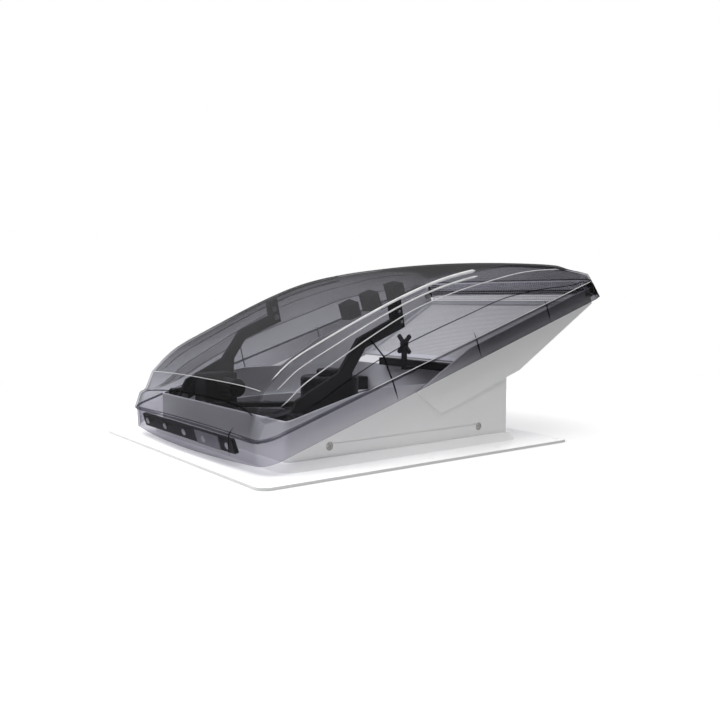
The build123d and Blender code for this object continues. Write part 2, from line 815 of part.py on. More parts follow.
with BuildPart() as lift_motor:
    with Locations((-gearbox_end + lift_motor_length / 2, pinion_y, pinion_z)):
        Cylinder(lift_motor_radius, lift_motor_length, rotation=(0, 90, 0))
    chamfer(lift_motor.edges().sort_by(Axis.X)[-1], gearbox_wall / 2)
save(lift_motor, "lift_motor")

with BuildPart() as lift_crank:
    with Locations((crank_x, crank_y, crank_bottom)):
        Cylinder(knob_radius, knob_height, align=(Align.CENTER, Align.CENTER, Align.MIN))
    chamfer(lift_crank.edges().sort_by(Axis.Z)[0], knob_height / 6)
    with Locations((crank_x, crank_y, crank_bottom)):
        Cylinder(
            crank_radius, pinion_z + worm_length / 2 - crank_bottom,
            align=(Align.CENTER, Align.CENTER, Align.MIN),
        )
    with Locations((crank_x, crank_y, pinion_z)):
        Cylinder(worm_radius, worm_length)
save(lift_crank, "lift_crank")

with BuildPart() as control_box:
    with Locations((
        -inner_half_x + control_inset + control_width / 2,
        inner_half_y - control_inset - control_length / 2,
        deck_top,
    )):
        Box(control_width, control_length, control_height, align=(Align.CENTER, Align.CENTER, Align.MIN))
    fillet(control_box.edges().group_by(Axis.Z)[-1], control_height / 8)
save(control_box, "control_box")

# Strip behind the front skirt, under the shelf, with its cover and screws
strip_front = strip_back - strip_thickness


def strip_part(left, right, back, thickness):
    with BuildSketch(lid_level(strip_low)) as strip:
        with Locations(((left + right) / 2, back - thickness / 2)):
            Rectangle(right - left, thickness)
    return extrude(strip.sketch, amount=shelf_height - strip_low)


strip_screw_places = [-strip_screw_left + n * strip_screw_pitch for n in range(strip_screw_count)]
strip_screw_up = (strip_low + shelf_height) / 2


def strip_screw(x, front, radius, length):
    with BuildSketch(lid_cut(front + length)) as head:
        with Locations((x, strip_screw_up)):
            Circle(radius)
    return extrude(head.sketch, amount=length)


with BuildPart() as front_strip:
    add(strip_part(-strip_left, strip_right, strip_back, strip_thickness))
    for x in strip_screw_places:
        add(strip_screw(x, strip_front, small_shank_radius, strip_thickness), mode=Mode.SUBTRACT)
save(front_strip, "front_strip")

with BuildPart() as strip_cover:
    add(strip_part(cover_left, cover_right, strip_front, cover_thickness))
    for x in strip_screw_places:
        shank = strip_screw(x, strip_front - cover_thickness, small_shank_radius, cover_thickness)
        add(shank, mode=Mode.SUBTRACT)
save(strip_cover, "strip_cover")

with BuildPart() as strip_screws:
    for x in strip_screw_places:
        lift = cover_thickness if cover_left < x < cover_right else 0
        add(strip_screw(x, strip_front - lift - small_head_height, small_head_radius, small_head_height))
        add(strip_screw(x, strip_front - lift, small_shank_radius, strip_thickness + lift))
save(strip_screws, "strip_screws")

# Dark blocks under the hood, cut to its inner face
with BuildPart() as lid_blocks:
    for share in block_along_shares:
        with BuildSketch(lid_level(hood_height - 2 * block_side)):
            with Locations((block_x, share * lid_length)):
                Rectangle(block_side, block_side)
        extrude(amount=2 * block_side)
    add(hood_space, mode=Mode.INTERSECT)
save(lid_blocks, "lid_blocks")

# Black trim round the rear of the skirt, from corner to corner
with BuildPart() as rear_cap:
    loft(rim_faces(-cap_thickness), ruled=True)
    loft(rim_faces(0), ruled=True, mode=Mode.SUBTRACT)
    with BuildSketch(lid_level(cap_low)):
        with Locations((0, lid_length)):
            Rectangle(2 * lid_width, 2 * cap_wrap)
    extrude(amount=cap_high - cap_low, mode=Mode.INTERSECT)
save(rear_cap, "rear_cap")

with BuildPart() as shroud_pins:
    for start, head in (
        (-skirt_inner - lid_wall / 2, -panel_inner + slide_gap),
        (panel_inner - slide_gap, panel_inner - slide_gap - small_head_height),
    ):
        with BuildSketch(lid_side(start)):
            with Locations((fold_along, fold_up)):
                Circle(shroud_pin_radius)
        extrude(amount=skirt_inner + lid_wall / 2 - panel_inner + slide_gap)
        with BuildSketch(lid_side(head)):
            with Locations((fold_along, fold_up)):
                Circle(2 * shroud_pin_radius)
        extrude(amount=small_head_height)
save(shroud_pins, "shroud_pins")

# Shroud: side panels, rear frame and mesh
panel_points = [(share[0] * lid_length, share[1] * hood_height) for share in panel_shares]
for start, name in ((-panel_outer, "shroud_panel_left"), (panel_inner, "shroud_panel_right")):
    with BuildPart() as shroud_panel:
        with BuildSketch(lid_side(start)) as panel_shape:
            with BuildLine():
                Polyline(*panel_points, close=True)
            make_face()
            for point in panel_points[1:3]:
                fillet(panel_shape.vertices().sort_by_distance(Vector(*point, 0))[0], panel_corner)
            with Locations((fold_along, fold_up)):
                Circle(shroud_pin_radius + run_gap, mode=Mode.SUBTRACT)
        extrude(amount=panel_thickness)
    save(shroud_panel, name)

frame_low, frame_high = panel_points[2], panel_points[3]
frame_length = hypot(frame_high[0] - frame_low[0], frame_high[1] - frame_low[1])
frame_slope = atan2(frame_high[1] - frame_low[1], frame_high[0] - frame_low[0])
frame_up = upward * cos(frame_slope) - along * sin(frame_slope)
frame_origin = lid_origin + along * frame_low[0] + upward * frame_low[1] + frame_up * frame_inset
frame_plane = Plane(origin=frame_origin, x_dir=(1, 0, 0), z_dir=frame_up)
rear_width = 2 * (panel_inner - frame_bar)
rear_length = frame_length - 2 * (frame_inset + frame_bar)
with BuildPart() as rear_frame:
    with BuildSketch(frame_plane):
        with Locations((0, frame_length / 2)):
            Rectangle(2 * panel_inner, frame_length - 2 * frame_inset)
            Rectangle(rear_width, rear_length, mode=Mode.SUBTRACT)
    extrude(amount=frame_thickness)
save(rear_frame, "rear_frame")

with BuildPart() as rear_screen:
    with BuildSketch(frame_plane.offset(frame_thickness / 3)):
        with Locations((0, frame_length / 2)):
            Rectangle(rear_width, rear_length)
            pitch_across = (rear_width - screen_wire) / rear_gaps_across
            pitch_up = (rear_length - screen_wire) / rear_gaps_up
            with GridLocations(pitch_across, pitch_up, rear_gaps_across, rear_gaps_up):
                Rectangle(pitch_across - screen_wire, pitch_up - screen_wire, mode=Mode.SUBTRACT)
    extrude(amount=screen_sheet)
save(rear_screen, "rear_screen")

# Bar between the panels at the top, with an upright net on its front
with BuildPart() as shroud_crossbar:
    with BuildSketch(lid_level(cross_low)):
        with Locations((0, cross_front + cross_depth / 2)):
            Rectangle(2 * panel_inner, cross_depth)
    extrude(amount=cross_height)
save(shroud_crossbar, "shroud_crossbar")

with BuildPart() as top_screen:
    with BuildSketch(lid_cut(cross_front)):
        with Locations((0, (top_screen_low + top_screen_high) / 2)):
            Rectangle(rear_width, top_screen_high - top_screen_low)
            pitch_high = (top_screen_high - top_screen_low - screen_wire) / top_gaps_up
            with GridLocations(pitch_across, pitch_high, rear_gaps_across, top_gaps_up):
                Rectangle(pitch_across - screen_wire, pitch_high - screen_wire, mode=Mode.SUBTRACT)
    extrude(amount=screen_sheet)
save(top_screen, "top_screen")

# Rail on the rear wall and the star that stands on it
with BuildPart() as rear_rail:
    with Locations((0, box_half_y - rail_depth / 2, wall_rear_height)):
        Box(2 * rail_half_length, rail_depth, rail_height, align=(Align.CENTER, Align.CENTER, Align.MIN))
save(rear_rail, "rear_rail")

with BuildPart() as star_brace:
    stem_length = box_half_y - rail_depth - star_y + star_thickness / 2
    with Locations((0, star_y - star_thickness / 2 + stem_length / 2, wall_rear_height)):
        Box(stem_width, stem_length, star_thickness, align=(Align.CENTER, Align.CENTER, Align.MIN))
    with Locations((0, star_y, wall_rear_height)):
        Box(
            stem_width,
            star_thickness,
            star_z - wall_rear_height,
            align=(Align.CENTER, Align.CENTER, Align.MIN),
        )
    with Locations((0, star_y, star_z)):
        Cylinder(star_hub_radius, star_thickness, rotation=(90, 0, 0))
    for n in range(star_arms):
        with Locations(Location((0, star_y, star_z), (0, star_turn + 360 / star_arms * n, 0))):
            Box(star_reach, star_thickness, star_arm, align=(Align.MIN, Align.CENTER, Align.CENTER))
save(star_brace, "star_brace")
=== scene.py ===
"""Roof vent with a tilting smoke lid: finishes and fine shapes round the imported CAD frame.

Metres, +Z up. The lid's own sizes are written in millimetres along and up its tilted frame.
"""
import math

import bmesh
import bpy
from mathutils import Matrix, Vector


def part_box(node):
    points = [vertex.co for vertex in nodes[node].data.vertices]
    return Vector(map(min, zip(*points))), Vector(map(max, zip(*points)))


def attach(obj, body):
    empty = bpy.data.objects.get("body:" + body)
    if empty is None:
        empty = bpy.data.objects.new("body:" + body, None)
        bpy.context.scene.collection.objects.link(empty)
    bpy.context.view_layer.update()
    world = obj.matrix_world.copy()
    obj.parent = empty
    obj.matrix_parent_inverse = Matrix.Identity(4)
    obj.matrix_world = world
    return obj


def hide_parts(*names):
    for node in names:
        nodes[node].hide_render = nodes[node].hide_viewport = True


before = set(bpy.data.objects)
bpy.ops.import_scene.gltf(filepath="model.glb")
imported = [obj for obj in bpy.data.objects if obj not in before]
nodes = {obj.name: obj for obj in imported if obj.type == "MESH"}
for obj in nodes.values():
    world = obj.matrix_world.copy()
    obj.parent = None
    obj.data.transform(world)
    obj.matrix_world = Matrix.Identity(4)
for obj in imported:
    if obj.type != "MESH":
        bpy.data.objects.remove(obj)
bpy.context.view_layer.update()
scene = bpy.context.scene
MM = 0.001
FULL_TURN = 2 * math.pi
ACROSS, UPRIGHT = Vector((1, 0, 0)), Vector((0, 0, 1))


# Node trees

class Value:
    """A socket that takes part in sums, so masks read as plain expressions."""

    def __init__(self, recipe, socket):
        self.recipe = recipe
        self.socket = socket

    def maths(self, operation, *terms):
        return self.recipe.node("ShaderNodeMath", {"operation": operation}, terms)

    def __add__(self, other):
        return self.maths("ADD", self, other)

    def __radd__(self, other):
        return self.maths("ADD", other, self)

    def __mul__(self, other):
        return self.maths("MULTIPLY", self, other)

    def __rmul__(self, other):
        return self.maths("MULTIPLY", other, self)

    def __pow__(self, power):
        return self.maths("POWER", self, power)

    def __abs__(self):
        return self.maths("ABSOLUTE", self)

    def largest(self, other):
        return self.maths("MAXIMUM", self, other)


class Recipe:
    """A node tree and the calls that fill it."""

    def __init__(self, tree):
        self.tree = tree

    def node(self, kind, settings, values, output=0):
        """Add a node: settings first, then a value or a link for each socket."""
        made = self.tree.nodes.new(kind)
        for key, value in settings.items():
            setattr(made, key, value)
        for key, value in values.items() if isinstance(values, dict) else enumerate(values):
            if isinstance(value, Value):
                self.tree.links.new(value.socket, made.inputs[key])
            else:
                made.inputs[key].default_value = value
        return Value(self, made.outputs[output])

    def end(self, kind, label, value):
        """Join a value to the tree's output node."""
        self.tree.links.new(value.socket, self.tree.nodes.new(kind).inputs[label])


class Finish(Recipe):
    """The tree of a material or of the world, with the nodes that finishes are mixed from."""

    def __init__(self, owner):
        owner.use_nodes = True
        owner.node_tree.nodes.clear()
        super().__init__(owner.node_tree)
        self.owner = owner

    def place(self):
        return self.node("ShaderNodeTexCoord", {}, {}, output="Object")

    def along(self, axis):
        return self.node("ShaderNodeSeparateXYZ", {}, [self.place()], output=axis)

    def noise(self, scale, detail=3.0):
        return self.node("ShaderNodeTexNoise", {}, {"Vector": self.place(), "Scale": scale, "Detail": detail})

    def rising(self, value, low, high, least=0.0, most=1.0):
        """From the least to the most while the value goes from low to high."""
        limits = {"From Min": low, "From Max": high, "To Min": least, "To Max": most}
        return self.node("ShaderNodeMapRange", {}, {"Value": value, **limits})

    def bump(self, height, strength, distance):
        return self.node("ShaderNodeBump", {}, {"Height": height, "Strength": strength, "Distance": distance})

    def blend(self, share, first, second):
        """Mix two colours."""
        return self.node("ShaderNodeMix", {"data_type": "RGBA"}, {0: share, 6: first, 7: second}, output=2)

    def principled(self, **values):
        named = {key.replace("_", " "): value for key, value in values.items()}
        return self.node("ShaderNodeBsdfPrincipled", {}, named)

    def see_through(self, colour):
        return self.node("ShaderNodeBsdfTransparent", {}, {"Color": colour})

    def mirror(self, roughness):
        values = {"Color": grey(1.0), "Roughness": roughness}
        return self.node("ShaderNodeBsdfAnisotropic", {"distribution": "GGX"}, values)

    def mix(self, share, first, second):
        """Mix two shaders."""
        return self.node("ShaderNodeMixShader", {}, [share, first, second])

    def ray(self, kind):
        return self.node("ShaderNodeLightPath", {}, {}, output=f"Is {kind} Ray")

    def in_sight(self):
        """1 for what is seen, straight, in a mirror or through clear plastic, and 0 for what gives light."""
        return self.ray("Camera").largest(self.ray("Glossy")).largest(self.ray("Transmission"))

    def show(self, shader, output="ShaderNodeOutputMaterial"):
        self.end(output, "Surface", shader)
        return self.owner


def material(name):
    return Finish(bpy.data.materials.new(name))


def grey(level, red=0.0, blue=0.0):
    """A grey, with a little more or less red and blue in it."""
    return (level + red, level, level + blue, 1.0)


# Finishes

CLEAR_TINT = grey(0.8, blue=0.03)
DENSE_TINT = grey(0.03, blue=0.004)
# Smoke plastic: mirror shine seen square on and along the wall, its roughness clean and scuffed,
# and the haze that dust adds.
SHINE, SHINE_ALONG = 0.003, 0.015
CLEAN, SCUFFED = 0.03, 0.04
DUST_HAZE = 0.03


def moulded_white(name):
    """Glossy white moulding: faint orange peel, and dust that dulls it in soft patches."""
    finish = material(name)
    dust = finish.noise(scale=9.0, detail=5.0)
    peel = finish.noise(scale=900.0, detail=2.0)
    return finish.show(finish.principled(
        Base_Color=finish.blend(dust, grey(0.80, blue=0.005), grey(0.86)),
        Roughness=0.24 + dust * 0.16,
        Normal=finish.bump(peel, strength=0.12, distance=0.0004),
    ))


def moulded_black(name, level, gloss, grain):
    """Black moulding with a fine grain that catches the light."""
    finish = material(name)
    fine = finish.noise(scale=grain, detail=4.0)
    patches = finish.noise(scale=25.0)
    return finish.show(finish.principled(
        Base_Color=finish.blend(patches, grey(level), grey(level * 1.9, blue=level * 0.15)),
        Roughness=gloss + fine * 0.2,
        Normal=finish.bump(fine, strength=0.35, distance=0.0003),
        Specular_IOR_Level=0.12,
    ))


def zinc(name, dull, bright):
    """Plated screw steel, streaked by turning and dulled in spots."""
    finish = material(name)
    streaks = finish.noise(scale=1600.0, detail=2.0)
    spots = finish.noise(scale=260.0)
    return finish.show(finish.principled(
        Base_Color=finish.blend(spots, grey(dull), grey(bright, red=0.01, blue=-0.01)),
        Metallic=1.0,
        Roughness=0.22 + streaks * 0.25,
        Normal=finish.bump(streaks, strength=0.2, distance=0.0002),
    ))


def smoke(name, clear, deep, haze, cloud, painted_rear_shade=0.0, shade_from=0.12, shade_to=0.33, outside=-1.0):
    """Smoke-tinted clear plastic: tinted light comes through, darker where seen along the wall.

    deep says how dark it gets there. haze and cloud are the tone and the share of its milky dust.
    The painted rear shade darkens it along Y between two places, only further from the middle than outside.
    """
    finish = material(name)
    # to_rear and on_side mask where the painted rear shade falls.
    to_rear = finish.rising(finish.along("Y"), shade_from, shade_to)
    on_side = finish.rising(abs(finish.along("X")), outside, outside + 4 * MM)
    edge_on = finish.node("ShaderNodeLayerWeight", {}, {"Blend": 0.5}, output="Facing")
    dust = finish.noise(scale=14.0, detail=6.0)
    scuffs = finish.noise(scale=700.0, detail=2.0)
    milky = finish.principled(
        Base_Color=finish.blend(dust, grey(haze), grey(haze * 1.8, blue=0.006)),
        Roughness=0.25 + dust * 0.1,
        Specular_IOR_Level=0.0,
    )
    # The tint deepens when seen along the wall; the second term adds the painted rear shade.
    darkness = edge_on ** 2.0 * deep + to_rear * on_side * painted_rear_shade
    tinted = finish.mix(darkness, finish.see_through(clear), finish.see_through(DENSE_TINT))
    hazy = finish.mix(cloud + dust * DUST_HAZE, tinted, milky)
    mirror = finish.mirror(CLEAN + scuffs * SCUFFED)
    return finish.show(finish.mix(SHINE + edge_on ** 4.0 * SHINE_ALONG, hazy, mirror))


def rear_trim(name, clear_to, black_from, least_black):
    """Trim along the rear edge: clear smoke in the middle, black towards its two ends."""
    finish = material(name)
    ends = finish.rising(abs(finish.along("X")), clear_to, black_from)
    grain = finish.noise(scale=1400.0)
    black = finish.principled(
        Base_Color=grey(0.02),
        Roughness=0.35 + grain * 0.2,
        Normal=finish.bump(grain, strength=0.3, distance=0.0003),
        Specular_IOR_Level=0.3,
    )
    share = ends * (1 - least_black) + least_black
    return finish.show(finish.mix(share, finish.see_through(CLEAR_TINT), black))


def rib_with_painted_highlight(name):
    """Clear ribs with painted highlights: a near-white diffuse share and a mirror show them as bright lines
    along their length.
    """
    finish = material(name)
    # The noise breaks up the painted highlight along the rib.
    streaks = finish.noise(scale=60.0)
    painted_highlight = finish.principled(
        Base_Color=finish.blend(streaks, grey(0.85), grey(1.0)), Roughness=0.12 + streaks * 0.1
    )
    clear_with_painted_highlight = finish.mix(0.35 + streaks * 0.3, finish.see_through(CLEAR_TINT), painted_highlight)
    return finish.show(finish.mix(0.1 + streaks * 0.3, clear_with_painted_highlight, finish.mirror(0.08)))


def net_wire(name, level):
    """Woven net wire, uneven in tone from wire to wire."""
    finish = material(name)
    tone = finish.blend(finish.noise(scale=300.0), grey(level * 0.7), grey(level * 1.3))
    return finish.show(finish.principled(Base_Color=tone, Roughness=0.55))


WHITE = moulded_white("white_moulding")
BLACK = moulded_black("black_moulding", level=0.012, gloss=0.34, grain=1400.0)
MOTOR = moulded_black("motor_paint", level=0.010, gloss=0.26, grain=500.0)
GREY = moulded_black("grey_moulding", level=0.26, gloss=0.42, grain=1200.0)
ZINC = zinc("zinc_plate", dull=0.16, bright=0.42)
BRIGHT_ZINC = zinc("bright_zinc", dull=0.62, bright=0.85)
# Copies of one smoke plastic. The crown's copy is darker than the sides' as painted shade, and painted rear
# shade darkens the sides, the crown and the skirt's sides towards the rear.
SMOKE = smoke(
    "smoke_hood", clear=grey(0.86, blue=0.025), deep=0.7, haze=0.05, cloud=0.03,
    painted_rear_shade=0.18, shade_from=0.05, shade_to=0.30,
)
SMOKE_TOP = smoke("smoke_top", clear=grey(0.84, blue=0.03), deep=0.78, haze=0.10, cloud=0.11, painted_rear_shade=0.25)
SMOKE_SKIRT = smoke(
    "smoke_skirt", clear=grey(0.825, 0.005, 0.035), deep=0.5, haze=0.015, cloud=0.015,
    painted_rear_shade=0.38, shade_from=-0.02, shade_to=0.12, outside=0.168,
)
SMOKE_DARK = smoke("smoke_edge", clear=grey(0.25, blue=0.03), deep=0.3, haze=0.02, cloud=0.02)
REAR_TRIM = rear_trim("rear_trim", clear_to=0.146, black_from=0.158, least_black=0.06)
PAINTED_HIGHLIGHT_RIB = rib_with_painted_highlight("rib_with_painted_highlight")
NET_REAR = net_wire("rear_net_wire", level=0.75)
NET_INSECT = net_wire("insect_net_wire", level=0.10)

CAD_FINISH = {
    WHITE: ("mounting_flange", "base_housing", "shroud_panel_left", "shroud_panel_right", "rear_frame",
            "screen_frame"),
    BLACK: ("motor_bracket", "hinge_block_left", "hinge_block_right", "lift_gearbox", "lid_arm_left",
            "lid_arm_right", "lift_sector", "front_strip", "rear_rail", "star_brace", "control_box",
            "motor_cap", "lift_crank", "lift_pinion", "lid_blocks", "shroud_crossbar"),
    MOTOR: ("fan_motor", "lift_motor"),
    GREY: ("strip_cover",),
    REAR_TRIM: ("rear_cap",),
    ZINC: ("bracket_screws", "arm_screws", "hinge_pins", "shroud_pins", "fan_shaft", "fan_nut"),
}
for finish, names in CAD_FINISH.items():
    for name in names:
        slots = nodes[name].data.materials
        slots.clear()
        slots.append(finish)


# Objects and meshes

def placed(name, data):
    """A new object in the scene."""
    made = bpy.data.objects.new(name, data)
    scene.collection.objects.link(made)
    return made


def piece(name, mesh, body, slot, *replaced, finishes=()):
    """Put a finished mesh in the scene and tie it to its CAD body."""
    made = placed(name, mesh)
    for finish in finishes:
        mesh.materials.append(finish)
    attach(made, body)
    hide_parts(*replaced)


def plain_mesh(carrier):
    """The mesh that a carrier's modifiers give, in place of the carrier."""
    bpy.context.view_layer.update()
    made = bpy.data.meshes.new_from_object(carrier.evaluated_get(bpy.context.evaluated_depsgraph_get()))
    bpy.data.objects.remove(carrier)
    return made


def shade(mesh, angle):
    """Smooth shading that stays sharp past an angle in degrees."""
    mesh.shade_smooth()
    mesh.set_sharp_from_angle(angle=math.radians(angle))
    return mesh


def as_mesh(made, outwards=True):
    """The mesh of what bmesh made, its faces turned outwards if asked."""
    if outwards:
        bmesh.ops.recalc_face_normals(made, faces=made.faces)
    mesh = bpy.data.meshes.new("shape")
    made.to_mesh(mesh)
    made.free()
    return mesh


def from_rows(rows, closed_rows=False, closed_columns=False, finish_at=None):
    """A mesh from rows of points, joined row to row; finish_at gives a face's material number."""
    made = bmesh.new()
    grid = [[made.verts.new(point) for point in row] for row in rows]
    count, width = len(grid), len(grid[0])
    for i in range(count if closed_rows else count - 1):
        for j in range(width if closed_columns else width - 1):
            here, beyond, right = grid[i], grid[(i + 1) % count], (j + 1) % width
            face = made.faces.new((here[j], here[right], beyond[right], beyond[j]))
            if finish_at:
                face.material_index = finish_at(i, j)
    bmesh.ops.remove_doubles(made, verts=made.verts, dist=1e-6)
    return as_mesh(made)


def joined(*meshes):
    """One mesh of several, each keeping its material numbers."""
    made = bmesh.new()
    for mesh in meshes:
        made.from_mesh(mesh)
    return as_mesh(made, outwards=False)


def capped(mesh):
    """The mesh with its open ends filled."""
    made = bmesh.new()
    made.from_mesh(mesh)
    bmesh.ops.holes_fill(made, edges=made.edges)
    return as_mesh(made)


def coloured(mesh, number):
    """The mesh with one material number all over."""
    for face in mesh.polygons:
        face.material_index = number
    return mesh


def between(start, end, part):
    """Part of the way from one pair of numbers to another."""
    return tuple(a + (b - a) * part for a, b in zip(start, end))


def circle(radius, sides, height=0.0):
    """Points round the Z axis."""
    angles = [FULL_TURN * n / sides for n in range(sides)]
    return [Vector((radius * math.cos(angle), radius * math.sin(angle), height)) for angle in angles]


def framed(axes, origin):
    """The place that has the three axes and the origin given."""
    place = Matrix(axes).transposed().to_4x4()
    place.translation = origin
    return place


BEAD_SIDES = 8
BEAD_TIP = 0.15


def tube(path, radius, level=UPRIGHT, tipped=True, swell=0.0):
    """A round bead along a path, drawn in at tipped ends, and fuller towards the last one by swell."""
    last = len(path) - 1
    rows = []
    for index, point in enumerate(path):
        forward = (path[min(index + 1, last)] - path[max(index - 1, 0)]).normalized()
        side = forward.cross(level).normalized()
        over = side.cross(forward)
        size = radius * (BEAD_TIP if tipped and index in (0, last) else 1.0 + swell * index / len(path))
        rows.append([point + size * (turn.x * side + turn.y * over) for turn in circle(1.0, BEAD_SIDES)])
    return shade(capped(from_rows(rows, closed_columns=True)), 60.0)


# Smoke lid

LID_TILT = math.radians(18.0)
LID_ORIGIN = Vector((0.0, -0.204, 0.010))
LID_ALONG = Vector((0.0, math.cos(LID_TILT), math.sin(LID_TILT)))
LID_UP = Vector((0.0, -math.sin(LID_TILT), math.cos(LID_TILT)))
LID_WALL = 2.4
LIP_HEIGHT = 25.0
LID_FINISHES = (SMOKE, SMOKE_SKIRT, SMOKE_DARK, PAINTED_HIGHLIGHT_RIB, SMOKE_TOP)
ON_HOOD, ON_SKIRT, ON_EDGE, ON_PAINTED_HIGHLIGHT, ON_TOP = range(len(LID_FINISHES))


def lid_point(x, along, up):
    """A point given in the lid's own millimetres."""
    return LID_ORIGIN + ACROSS * (x * MM) + LID_ALONG * (along * MM) + LID_UP * (up * MM)


# Rows along the lid, in millimetres: place at the middle and at the sides, half widths at lip,
# crease, shoulder and edge, then heights at crease, shoulder, edge and crown.
HOOD_ROWS = (
    (15.5, 10.0, 167.0, 165.5, 160.0, 148.0, 25.2, 25.4, 25.5, 25.6),
    (41.0, 24.0, 171.5, 168.5, 158.5, 147.0, 41.0, 44.5, 45.5, 46.0),
    (50.0, 42.0, 173.5, 170.0, 154.0, 147.0, 39.0, 42.0, 66.0, 65.0),
    (68.0, 64.0, 175.0, 170.9, 152.5, 146.9, 37.0, 47.0, 76.5, 82.0),
    (90.0, 88.0, 175.3, 170.9, 152.2, 146.9, 37.8, 56.0, 84.5, 98.0),
    (135.0, 135.0, 175.3, 170.9, 152.2, 146.9, 45.9, 65.0, 91.1, 111.0),
    (201.0, 201.0, 175.3, 170.9, 152.2, 146.9, 53.9, 76.3, 98.0, 120.9),
    (259.0, 259.0, 175.3, 170.9, 152.2, 146.9, 55.8, 83.1, 101.7, 122.8),
    (319.0, 319.0, 175.3, 170.9, 152.2, 146.9, 55.8, 83.1, 101.7, 114.7),
    (385.0, 385.0, 175.3, 170.9, 152.2, 146.9, 55.2, 78.1, 94.2, 101.7),
    (451.0, 451.0, 175.3, 170.9, 152.2, 146.9, 45.9, 70.1, 81.2, 86.8),
    (520.0, 520.0, 175.3, 170.9, 152.2, 146.9, 31.0, 53.3, 58.9, 65.7),
    (545.0, 544.0, 174.5, 170.5, 157.5, 148.5, 29.5, 43.8, 45.8, 57.2),
    (564.0, 562.0, 167.0, 166.5, 163.5, 150.0, 28.5, 34.0, 36.5, 50.0),
    (566.5, 564.5, 165.5, 165.0, 162.0, 148.5, 25.4, 25.6, 25.8, 26.0),
)
# Where the half width and the height of each line stand in a row.
HOOD_LINES = {"crease": (3, 6), "shoulder": (4, 7), "edge": (5, 8)}
CREASED_ROWS = (1, 2, 13)
FRONT_ROW, TOP_ROW = 1, 2
ROW_STEPS = 6
FLANK_STEPS = (4, 5, 3)
SIDE_STEPS = sum(FLANK_STEPS)
CROWN_STEPS = 28
LINE_STEPS = 60
HALVINGS = 40


def slopes(index, step):
    """How fast each value of a row changes per unit of its place, seen from one of its two sides."""
    beside = HOOD_ROWS[min(max(index + step, 0), len(HOOD_ROWS) - 1)]
    behind = HOOD_ROWS[min(max(index - step, 0), len(HOOD_ROWS) - 1)]
    if index in CREASED_ROWS:
        behind = HOOD_ROWS[index]
    return [(a - b) / (beside[0] - behind[0]) for a, b in zip(beside, behind)]


def smooth_row(place):
    """Row at a fractional index, on a Hermite curve that breaks only at the creased rows."""
    index = min(int(place), len(HOOD_ROWS) - 2)
    part = place - index
    first, second = HOOD_ROWS[index], HOOD_ROWS[index + 1]
    gap = second[0] - first[0]
    return [
        (2 * part**3 - 3 * part**2 + 1) * a + (part**3 - 2 * part**2 + part) * leave * gap
        + (-2 * part**3 + 3 * part**2) * b + (part**3 - part**2) * arrive * gap
        for a, b, leave, arrive in zip(first, second, slopes(index, 1), slopes(index + 1, -1))
    ]


def row_at(along):
    """The smooth row whose middle lies at a distance along the lid."""
    low, high = 0.0, len(HOOD_ROWS) - 1.0
    for _ in range(HALVINGS):
        middle = (low + high) / 2
        if smooth_row(middle)[0] < along:
            low = middle
        else:
            high = middle
    return smooth_row(low)


def hood_profile(row):
    """Points across the hood from the right lip over the crown to the left lip."""
    middle, side, lip, crease, shoulder, edge, crease_up, shoulder_up, edge_up, crown_up = row
    corners = ((lip, LIP_HEIGHT), (crease, crease_up), (shoulder, shoulder_up), (edge, edge_up))
    flank = [
        between(start, end, n / steps)
        for start, end, steps in zip(corners, corners[1:], FLANK_STEPS) for n in range(steps)
    ]
    across = [edge * math.cos(math.pi * n / CROWN_STEPS) for n in range(CROWN_STEPS + 1)]
    crown = [(x, edge_up + (crown_up - edge_up) * (1 - (x / edge) ** 2)) for x in across]

    def bowed(x):
        return side + (middle - side) * max(0.0, 1 - abs(x / edge) ** 3)

    points = flank + crown + [(-x, up) for x, up in reversed(flank)]
    return [lid_point(x, bowed(x), up) for x, up in points]


def hood_mesh():
    """The hood's wall, a smooth skin thickened inwards."""
    steps = (len(HOOD_ROWS) - 1) * ROW_STEPS
    crown = range(SIDE_STEPS, SIDE_STEPS + CROWN_STEPS)
    skin = from_rows(
        [hood_profile(smooth_row(n / ROW_STEPS)) for n in range(steps + 1)],
        finish_at=lambda i, j: ON_TOP if j in crown and i >= TOP_ROW * ROW_STEPS else ON_HOOD,
    )
    carrier = placed("hood_skin", skin)
    wall = carrier.modifiers.new("wall", "SOLIDIFY")
    wall.thickness, wall.offset, wall.use_even_offset = LID_WALL * MM, -1.0, True
    return shade(plain_mesh(carrier), 24.0)


# Skirt, in millimetres: half width at the low edge and how much it draws in up to the lip, the same
# for the front and rear ends, the bow of each end, and the corner radius.
SKIRT_HALF, SKIRT_DRAW = 178.0, 2.0
FRONT_END, FRONT_DRAW = -4.0, 17.0
REAR_END, REAR_DRAW = 575.0, 8.0
FRONT_BOW, FRONT_BOW_LOSS, REAR_BOW = 11.0, 14.0, 3.0
SKIRT_CORNER = 22.0
END_STEPS, CORNER_STEPS = 12, 10
# Section through the skirt's wall: height, and how far inside the outer face.
SKIRT_SECTION = (
    (0.0, 0.5), (0.4, 0.0), (8.0, 0.0), (16.0, 0.0), (22.6, 0.0), (23.4, -0.8), (24.2, -1.3), (25.2, -1.3),
    (25.9, -0.8), (26.2, 0.2), (26.2, 2.4), (24.0, 2.4), (16.0, 2.4), (8.0, 2.4), (0.4, 2.4), (0.0, 1.9),
)
LIP_BEAD = range(5, 8)


def end_and_corner(half, corner, middle, bow):
    """From the middle of a bowed end to the start of the side, the corner arc tangent to both."""
    start = half - corner
    places = [start * n / END_STEPS for n in range(END_STEPS + 1)]
    points = [(x, middle + bow * (x / half) ** 2) for x in places]
    slope = 2 * bow * start / half**2
    centre = points[-1][1] + corner * math.hypot(1.0, slope)
    first = math.atan2(-1.0, slope)
    arc = [first * (1 - n / CORNER_STEPS) for n in range(CORNER_STEPS + 1)]
    return points + [(start + corner * math.cos(angle), centre + corner * math.sin(angle)) for angle in arc]


